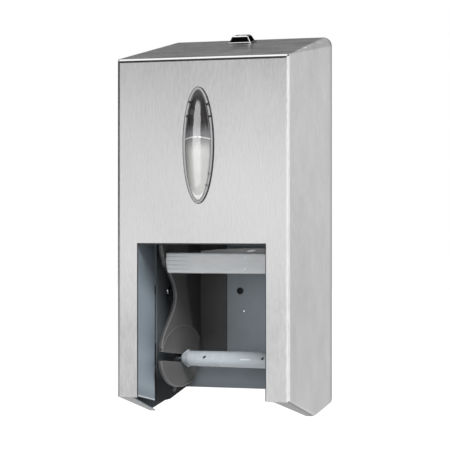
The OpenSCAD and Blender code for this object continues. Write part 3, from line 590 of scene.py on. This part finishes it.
pale = Finish("pale_plastic")
x, y, z = pale.axes(pale.place())
sleeve_low, sleeve_high = (Vector(corner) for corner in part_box("lower_sleeve"))
sleeve = (sleeve_low + sleeve_high) / 2
at_front = y.fall(sleeve.y - 0.001, sleeve.y)
# painted shade in two slanted slots, and a painted highlight along the front
slot_shade = 0
for offset in SLOT_OFFSETS:
    beside, above = x - (sleeve.x + offset), z - (sleeve.z + SLOT_RISE)
    from_slot = distance((beside + above) / SLOT_LONG, (above - beside) / SLOT_WIDE)
    slot_shade = slot_shade + from_slot.fall(0.9, 1.4)
streak_highlight = x.ramp(STREAK_FROM - 0.0005, STREAK_FROM + 0.0005) * x.fall(STREAK_TO - 0.001, STREAK_TO + 0.001)
streak_highlight = streak_highlight * z.near(STREAK_Z, 0.0003, 0.0009)
print("slots beside x =", round(sleeve.x * 1000, 2), "mm")

# %% Pale plastic of the sleeves and caps
flow = pale.noise((30, 300, 300), 3.0, 0.6)
haze = pale.noise((50, 50, 50), 3.0, 0.6)
pale.shade(
    Base_Color=pale.coats(
        pale.mix(0.5 + haze.swing(0.7) + flow.swing(0.3), (0.355, 0.39, 0.415), (0.44, 0.48, 0.51)),
        (slot_shade * at_front, (0.012, 0.014, 0.016)),
        (streak_highlight * at_front * 0.75, (0.74, 0.78, 0.80)),
    ),
    Roughness=0.28 + haze.swing(0.15),
    Coat_Weight=0.25,
    Normal=pale.bump(flow, 0.0002, 0.2),
)
dress(["lower_sleeve", "lower_end_caps", "upper_sleeve", "upper_end_caps"], pale)

# %% [markdown]
# ## Grey plastic of the stop bar
# The bar keeps the upper roll from dropping too early. Four fine grooves run along its left end, and two
# round pips stand on its right half. Both are there in CAD, but they are too fine to show by shape alone, so
# colour paints shade into the grooves and a highlight onto the pips. A zigzag over the bar's height, once per
# groove, gives the grooves' place.

# %% Stop bar
GROOVES = 4
GROOVES_TO, GROOVES_END = -0.048, -0.024        # where along the bar they start to fade and where they end
PIP_X, PIP_GAP, PIP_R = 0.0322, 0.0118, 0.001

grey = Finish("grey_plastic")
x, y, z = grey.axes(grey.place())
bar_low, bar_high = (Vector(corner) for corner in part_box("stop_bar"))
haze = grey.noise((70, 200, 200), 4.0, 0.6)
pitch = (bar_high.z - bar_low.z) / (GROOVES + 1)
at_front = y.fall(bar_low.y + 0.0018, bar_low.y + 0.0028)
# painted shade in the grooves, and a painted highlight on the pips
groove_shade = ((z - bar_low.z) / pitch).zigzag(0.5).fall(0.05, 0.12)
groove_shade = groove_shade * x.fall(GROOVES_TO, GROOVES_END) * at_front
from_middle = abs(z - (bar_low.z + bar_high.z) / 2)
pip_highlight = distance(x - PIP_X, from_middle - PIP_GAP / 2).fall(PIP_R - 0.0002, PIP_R + 0.0003)
grey.shade(
    Base_Color=grey.coats(
        grey.mix(haze, (0.53, 0.545, 0.56), (0.66, 0.675, 0.69)),
        (groove_shade * 0.6, (0.22, 0.225, 0.23)),
        (pip_highlight, (0.86, 0.87, 0.88)),
    ),
    Roughness=0.38 + haze.swing(0.2),
    Normal=grey.bump(haze, 0.0002, 0.2),
)
dress(["stop_bar"], grey)

# %% [markdown]
# ## Helpers for modelling
# Operators work on what is selected, so each of them starts from nothing selected. `start_edit` readies one
# mesh, and `choose` selects the parts that a rule accepts. When a piece is done, its place and turn are
# applied, so that its object sits at the origin, and it is told which body carries it.

# %% Select and apply
def only(item):
    """Makes one object the selected and the active one."""
    bpy.ops.object.select_all(action="DESELECT")
    item.select_set(True)
    bpy.context.view_layer.objects.active = item


def start_edit(item, mode="FACE"):
    """Readies one mesh for editing, with nothing selected."""
    only(item)
    bpy.ops.object.mode_set(mode="EDIT")
    bpy.ops.mesh.select_mode(type=mode)
    bpy.ops.mesh.select_all(action="DESELECT")
    bpy.ops.object.mode_set(mode="OBJECT")


def choose(parts, rule):
    """Selects the faces or edges that a rule accepts, opens edit mode and says how many there are."""
    for part in parts:
        part.select = bool(rule(part))
    count = sum(part.select for part in parts)
    bpy.ops.object.mode_set(mode="EDIT")
    return count


def apply_all(item):
    """Applies an object's place, turn and scale, and then its modifiers."""
    only(item)
    bpy.ops.object.transform_apply(location=True, rotation=True, scale=True)
    for modifier in list(item.modifiers):
        bpy.ops.object.modifier_apply(modifier=modifier.name)


print("helpers: only, start_edit, choose, apply_all")

# %% Blocks, bevelled edges and the last step of a piece
def new_block(name, size, place=(0, 0, 0)):
    bpy.ops.mesh.primitive_cube_add(size=1, location=place, scale=size)
    block = bpy.context.object
    block.name = name
    apply_all(block)
    return block


def edge_heights(item, edge):
    """The heights of an edge's two ends, the lower one first."""
    return sorted(item.data.vertices[i].co.z for i in edge.vertices)


def bevel_edges(item, rule, width, segments):
    """Bevels the edges whose lower and upper height a rule accepts."""
    start_edit(item, "EDGE")
    count = choose(item.data.edges, lambda edge: rule(*edge_heights(item, edge)))
    bpy.ops.mesh.bevel(offset=width, segments=segments, affect="EDGES")
    bpy.ops.object.mode_set(mode="OBJECT")
    return count


def soften(item, width):
    """Rounds every sharp edge of a piece."""
    rounding = item.modifiers.new("soften", "BEVEL")
    rounding.width = width
    rounding.segments = 2
    rounding.limit_method = "ANGLE"
    apply_all(item)


def wear(item, finish, body):
    """Gives a new piece its finish and tells it which body carries it."""
    item.data.materials.clear()
    item.data.materials.append(finish.material)
    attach(item, body)
    print(item.name, len(item.data.polygons), "faces, on", body)


print("helpers: new_block, bevel_edges, soften, wear")

# %% [markdown]
# ## Window
# The dome over the window is one clear moulding with a flat rim. The rim is opaque grey, with a dark line
# along its outer edge and another where the dome starts. The lower half of the dome is frosted white on the
# inside, the upper half is left clear and shows the dark inside of the box. All of this follows the oval, so
# the material works out how far a point is from the oval's edge: with e as the oval's own measure, 1 on the
# edge, the distance is about (1 - e) divided by how fast e grows there.

# %% The oval's own measures
lens_low, lens_high = (Vector(corner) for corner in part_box("window_lens"))
lens_middle = (lens_low + lens_high) / 2
half_x, _, half_z = (lens_high - lens_low) / 2

lens = Finish("smoked_window")
x, _, z = lens.axes(lens.place())
facing_up = lens.axes(lens.place("Normal"))[2]
side = (x - lens_middle.x) / half_x
height = (z - lens_middle.z) / half_z
measure = distance(side, height)
to_edge = (1 - measure) * measure / distance(side / half_x, height / half_z)
print("oval", round(half_x * 1000, 2), "x", round(half_z * 1000, 2), "mm")

# %% [markdown]
# The frosting starts just above the dome's middle and thickens downwards, with a bright line where it
# starts. The outer line, the rim, the seam between rim and dome and a faint line beside the seam are bands of
# the distance to the edge.

# %% Colours of the dome and its rim
RIM = 0.0030
FILL_LINE = 0.135           # the bright line's height, as a share of the half height
GLINT_IN = 0.0039           # the faint line's distance from the edge

haze = lens.noise((120, 120, 60), 3.0, 0.6)
outline = to_edge.fall(0.0004, 0.0009)
rim = to_edge.fall(RIM - 0.0003, RIM + 0.0002)
seam = to_edge.near(RIM, 0.0002, 0.0006)
glint = to_edge.near(GLINT_IN, 0.0001, 0.0005)
milky = height.fall(-0.12, 0.16)
fill_line = (height + side * side * 0.05).near(FILL_LINE, 0.006, 0.013)
clear_colour = lens.coats(
    lens.mix(haze, (0.014, 0.013, 0.014), (0.026, 0.023, 0.024)),
    (height.fall(0.12, 0.40) * 0.40, (0.36, 0.36, 0.38)),
)
# the frosting is painted darker towards its left side, as the shade of a dome lit from the right
milk_colour = lens.coats(
    lens.mix(haze, (0.32, 0.32, 0.31), (0.42, 0.42, 0.41)),
    ((-side).ramp(0.15, 0.75) * 0.7, (0.19, 0.185, 0.175)),
)
lens_colour = lens.coats(
    lens.mix(milky, clear_colour, milk_colour),
    (rim, lens.mix(outline, (0.27, 0.27, 0.275), (0.03, 0.03, 0.031))),
    (seam * 0.8, (0.05, 0.05, 0.052)),
    (glint * 0.5, (0.20, 0.20, 0.205)),
    (fill_line * (1 - rim) * 0.8, grey_tone(0.62)),
)
print("lens colours:", len(lens.tree.nodes), "nodes")

# %% [markdown]
# The dome's shine is a clear coat. It is kept off the rim, off the steep ends and off the upper end, where a
# lamp would leave white crescents that a real dome of this shape does not show, and it is weaker on the
# frosted part. The frosted part and the rim are opaque, the rest lets a little of the inside through.

# %% Smoked window
steep = abs(facing_up).ramp(0.22, 0.42)
upper_end = (height + side * side * 1.2).ramp(0.70, 0.80)
clear_of_rim = to_edge.ramp(RIM + 0.0004, RIM + 0.0024)
opaque = lens.math("MAXIMUM", lens.math("MAXIMUM", milky, rim), glint)
lens.shade(
    Base_Color=lens_colour,
    Roughness=0.95 - clear_of_rim * 0.5,
    Specular_IOR_Level=0.15,
    Coat_Weight=clear_of_rim * (1 - steep) * (1 - upper_end) * (1 - milky * 0.68),
    Coat_Roughness=0.03,
    Coat_IOR=1.55,
    Alpha=0.80 + opaque * 0.2,
)
dress(["window_lens"], lens)

# %% Light of the window alone
window_light = bpy.data.collections.new("lit_by_window_glow")
bpy.context.scene.collection.children.link(window_light)
window_light.objects.link(nodes["window_lens"])
window_glow.light_linking.receiver_collection = window_light

# %% [markdown]
# ## Clips of the window
# Six small snap tabs hold the dome in its frame, and show as dark ticks across its rim. One tab is made from
# a cube: its outer face is inset and pushed in, and its edges are rounded. The others are copies of it. Each
# is turned about the depth axis until its long side points straight outwards from the oval.

# %% One clip
CLIP_SIZE = (0.0028, 0.0010, 0.0018)

clip = new_block("window_clip", CLIP_SIZE)
start_edit(clip)
choose(clip.data.polygons, lambda face: face.normal.y < -0.9)
bpy.ops.mesh.inset(thickness=0.0002, depth=-0.0002)
bpy.ops.object.mode_set(mode="OBJECT")
soften(clip, 0.00012)
print("one clip:", len(clip.data.polygons), "faces")

# %% Plastic of the clips
GREY_BELOW, BLACK_ABOVE = 0.06, 0.10    # the lower clips catch more light, so they look grey

clip_plastic = Finish("clip_plastic")
haze = clip_plastic.noise((300, 300, 300), 2.0, 0.5)
clip_height = clip_plastic.axes(clip_plastic.place())[2]
clip_black = clip_plastic.mix(haze, (0.012, 0.012, 0.013), (0.024, 0.024, 0.025))
clip_plastic.shade(
    Base_Color=clip_plastic.mix(clip_height.ramp(GREY_BELOW, BLACK_ABOVE), (0.14, 0.14, 0.145), clip_black),
    Roughness=0.5,
    Specular_IOR_Level=0.1,
)
print("clips are black above", BLACK_ABOVE)

# %% Six clips round the dome
CLIP_PLACES = ((-0.0118, 0.1273), (0.0067, 0.1248), (-0.0146, 0.1131), (0.0093, 0.1126),
               (0.0084, 0.0551), (0.0061, 0.0434))
CLIP_DEPTH = -0.1577


def outward_turn(place_x, place_z):
    """How far a tab at a place on the oval turns about Y until its long side points outwards."""
    across = (place_x - lens_middle.x) / half_x ** 2
    along = (place_z - lens_middle.z) / half_z ** 2
    return math.atan2(across, along) - math.copysign(math.pi / 2, across)


clips = [clip]
for index in range(1, len(CLIP_PLACES)):
    twin = clip.copy()
    twin.data = clip.data.copy()
    twin.name = f"window_clip_{index}"
    bpy.context.scene.collection.objects.link(twin)
    clips.append(twin)
for tab, (place_x, place_z) in zip(clips, CLIP_PLACES):
    tab.rotation_euler = (0, outward_turn(place_x, place_z), 0)
    tab.location = (place_x, CLIP_DEPTH, place_z)
    apply_all(tab)
    wear(tab, clip_plastic, "cover")

# %% [markdown]
# The frame behind the dome is hardly seen, only as a grey line round it. It is a plain moulded plastic.

# %% Grey frame behind the dome
frame_grey = Finish("frame_plastic")
haze = frame_grey.noise((200, 200, 200), 3.0, 0.6)
frame_grey.shade(
    Base_Color=frame_grey.mix(haze, (0.10, 0.105, 0.11), (0.16, 0.165, 0.17)),
    Roughness=0.4,
    Normal=frame_grey.bump(haze, 0.0002, 0.2),
)
dress(["window_retainer"], frame_grey)

# %% [markdown]
# ## Lock
# The lock's head is a small block of polished metal with sloping sides. What one sees of it is mostly its
# edges: the sides mirror a dark room, while each bevelled edge catches a bright line. CAD gave it sharp
# edges, so it is modelled again here. A cone with four corners is already such a block: it is squeezed to
# its depth, and its upright and upper edges are bevelled.

# %% Head of the lock
LOCK_W, LOCK_D, LOCK_H = 0.0250, 0.0195, 0.008
LOCK_TAPER = 0.68

corner_r = LOCK_W / math.sqrt(2)
bpy.ops.mesh.primitive_cone_add(vertices=4, radius1=corner_r, radius2=corner_r * LOCK_TAPER, depth=LOCK_H,
                                location=(0, 0, LOCK_H / 2), rotation=(0, 0, math.radians(45)))
head = bpy.context.object
head.name = "lock_head"
apply_all(head)
head.scale = (1, LOCK_D / LOCK_W, 1)
apply_all(head)
upright = bevel_edges(head, lambda low, high: high - low > LOCK_H / 2, 0.0013, 2)
upper = bevel_edges(head, lambda low, high: low > LOCK_H - 0.0001, 0.0012, 1)
print("bevelled", upright, "upright and", upper, "upper edges of the lock's head")

# %% [markdown]
# The barrel below the head goes through the sheet. It is joined to the head by a Boolean, and a second one
# cuts the bore for the plug through both. The head is made upright at the origin, then turned and moved onto
# the sloping top, and the turn is applied.

# %% Barrel and bore of the lock
BARREL_R, BARREL_H, BORE_R = 0.0075, 0.020, 0.00505
BARREL_SINK = 0.001         # how far the barrel reaches into the head
BORE_H = 0.08               # longer than the lock, so that it cuts right through
LOCK_PLACE = (-0.0005, -0.027, 0.199375)
TOP_SLOPE = math.atan(32.5 / 156)


def new_rod(radius, low, high):
    """An upright rod on the origin's axis, between two heights."""
    bpy.ops.mesh.primitive_cylinder_add(vertices=64, radius=radius, depth=high - low,
                                        location=(0, 0, (low + high) / 2))
    made = bpy.context.object
    apply_all(made)
    return made


def onto_top(item):
    """Turns and moves a piece of the lock onto the sloping top."""
    item.rotation_euler = (TOP_SLOPE, 0, 0)
    item.location = LOCK_PLACE
    apply_all(item)


barrel = new_rod(BARREL_R, -BARREL_H, BARREL_SINK)
bevel_edges(barrel, lambda low, high: high < -BARREL_H + 0.001, 0.0006, 2)
bore = new_rod(BORE_R, -BORE_H / 2, BORE_H / 2)
for operation, tool in (("UNION", barrel), ("DIFFERENCE", bore)):
    cut = head.modifiers.new(operation.lower(), "BOOLEAN")
    cut.operation = operation
    cut.solver = "EXACT"
    cut.object = tool
apply_all(head)
for tool in (barrel, bore):
    bpy.data.objects.remove(tool)
onto_top(head)
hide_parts("lock_housing")
print("lock head:", len(head.data.polygons), "faces")

# %% [markdown]
# Between the head and the sheet lies a thin plinth that is a little larger all round, as a cast foot is. It
# is a flat block with all its edges bevelled.

# %% Seat under the lock
SEAT_MARGIN, SEAT_H = 0.0016, 0.0014

seat = new_block("lock_seat", (LOCK_W + SEAT_MARGIN, LOCK_D + SEAT_MARGIN, SEAT_H), (0, 0, SEAT_H / 2))
bevel_edges(seat, lambda low, high: True, 0.0010, 1)
onto_top(seat)
print("lock seat:", len(seat.data.polygons), "faces")

# %% [markdown]
# Polished metal has little colour of its own. The four broad sides are given a dark one by the direction
# that they face, since they mirror a dark room, and the bevels between them stay bright.

# %% Chrome of the lock
chrome = Finish("polished_chrome")
haze = chrome.noise((80, 80, 80), 2.0, 0.5)
facing_x, facing_y, _ = chrome.axes(chrome.place("Normal"))
broad_side = abs(facing_x).ramp(0.86, 0.90) + abs(facing_y).ramp(0.955, 0.975)
bright_chrome = chrome.mix(haze, (0.92, 0.92, 0.93), (0.98, 0.98, 0.98))
chrome.shade(
    Base_Color=chrome.mix(broad_side, bright_chrome, (0.040, 0.040, 0.042)),
    Metallic=1.0,
    Roughness=0.10 + haze.swing(0.06),
    Specular_Tint=grey_tone(0.1),
)
wear(head, chrome, "cover")
wear(seat, chrome, "cover")

# %% [markdown]
# ## Shadow strip of the cut-out
# Where the front sheet is cut out for the paper, a thin black strip on the upper edge and down both sides
# stands in for the shadow line along the sheet's cut edge. It is one strip, so one block is enough: it is cut
# in three along its length, and its two ends are extruded down the sides.

# %% Shadow strip
CUT_LEFT, CUT_RIGHT = -0.0700, 0.0684
CUT_TOP, CUT_FOOT = -0.0150, -0.1722
STRIP_W, STRIP_T, STRIP_TOP = 0.0009, 0.0012, 0.0013
STRIP_FRONT = -0.15605

strip_foot = CUT_TOP - STRIP_TOP
strip_size = (CUT_RIGHT - CUT_LEFT, STRIP_T, STRIP_TOP)
strip_place = ((CUT_LEFT + CUT_RIGHT) / 2, STRIP_FRONT + STRIP_T / 2, CUT_TOP - STRIP_TOP / 2)
# a black strip standing in for the shadow line along the cut-out's edges
shadow_strip = new_block("cutout_shadow_strip", strip_size, strip_place)
left_end, right_end = CUT_LEFT + STRIP_W, CUT_RIGHT - STRIP_W
for cut_x in (left_end, right_end):
    start_edit(shadow_strip)
    bpy.ops.object.mode_set(mode="EDIT")
    bpy.ops.mesh.select_all(action="SELECT")
    bpy.ops.mesh.bisect(plane_co=(cut_x, 0, 0), plane_no=(1, 0, 0))
    bpy.ops.object.mode_set(mode="OBJECT")
start_edit(shadow_strip)
ends = choose(shadow_strip.data.polygons, lambda face: face.normal.z < -0.9
              and not left_end < face.center.x < right_end)
bpy.ops.mesh.extrude_region_move(TRANSFORM_OT_translate={"value": (0, 0, CUT_FOOT - strip_foot)})
bpy.ops.object.mode_set(mode="OBJECT")
print("extruded", ends, "ends of the trim")

# %% Soft edges and finish of the shadow strip
soften(shadow_strip, 0.00025)
black = Finish("black_shadow_strip")
haze = black.noise((250, 250, 250), 2.0, 0.5)
black.shade(Base_Color=black.mix(haze, (0.016, 0.017, 0.018), (0.034, 0.036, 0.038)), Roughness=0.5)
wear(shadow_strip, black, "cover")

# %% [markdown]
# ## Small parts
# The lock's inner parts and the rivets are bright zinc plate. The hinges and the axles' heads are the same
# plating, duller and painted much darker as the shade they sit in. The axles are drawn rod, whose fine lines
# run along it. The lock's plug is darker than its head. The screws are blackened, and the plug in the back
# plate is rubber.

# %% Zinc-plated small parts
zinc = Finish("zinc_plate")
haze = zinc.noise((300, 300, 300), 3.0, 0.6)
zinc.shade(
    Base_Color=zinc.mix(haze, (0.50, 0.51, 0.52), (0.66, 0.67, 0.68)),
    Metallic=1.0,
    Roughness=0.24 + haze.swing(0.2),
    Normal=zinc.bump(haze, 0.0001, 0.2),
)
dress(["lock_washer", "lock_nut", "lock_cam", "cam_screw", "keeper_rivets", "buffer_rivets"], zinc)

# %% Duller zinc of the hinges and the axles' heads, painted dark as shade
# a much darker copy of the zinc, painted as the shade round the hinges and the axles' heads
dull_shaded = Finish("dull_shaded_zinc")
haze = dull_shaded.noise((300, 300, 300), 3.0, 0.6)
dull_shaded.shade(
    Base_Color=dull_shaded.mix(haze, (0.050, 0.052, 0.055), (0.100, 0.103, 0.107)),
    Metallic=0.7,
    Roughness=0.42 + haze.swing(0.2),
)
dress(["hinge_lugs", "hinge_pins", "hinge_clips", "lower_axle_heads", "upper_axle_heads"], dull_shaded)

# %% Drawn rod of the axles
rod = Finish("drawn_rod")
draw = rod.noise((20, 900, 900), 2.0, 0.5)
rod.shade(
    Base_Color=rod.mix(draw, (0.55, 0.56, 0.57), (0.70, 0.71, 0.72)),
    Metallic=1.0,
    Roughness=0.22 + draw.swing(0.2),
)
dress(["lower_axle", "upper_axle"], rod)

# %% Lock plug, screws and rubber
core = Finish("dark_lock_plug")
haze = core.noise((400, 400, 400), 2.0, 0.5)
core.shade(Base_Color=core.mix(haze, (0.05, 0.05, 0.052), (0.11, 0.11, 0.115)), Metallic=0.6, Roughness=0.32)
dress(["lock_core"], core)

screw = Finish("black_screw")
haze = screw.noise((400, 400, 400), 2.0, 0.5)
screw.shade(Base_Color=screw.mix(haze, (0.045, 0.044, 0.047), (0.060, 0.059, 0.062)), Roughness=0.5)
dress(["arm_screws"], screw)

rubber = Finish("black_rubber")
haze = rubber.noise((250, 250, 250), 3.0, 0.6)
rubber.shade(
    Base_Color=rubber.mix(haze, (0.012, 0.012, 0.012), (0.030, 0.029, 0.028)),
    Roughness=0.7,
    Normal=rubber.bump(haze, 0.0003, 0.4),
)
dress(["hole_plug"], rubber)

# %% [markdown]
# ## End
# The last cell only prints that the script has run to its end. The box of what is shown has to lie
# inside the box that the CAD solids filled at the start.

# %% End
print("script done")
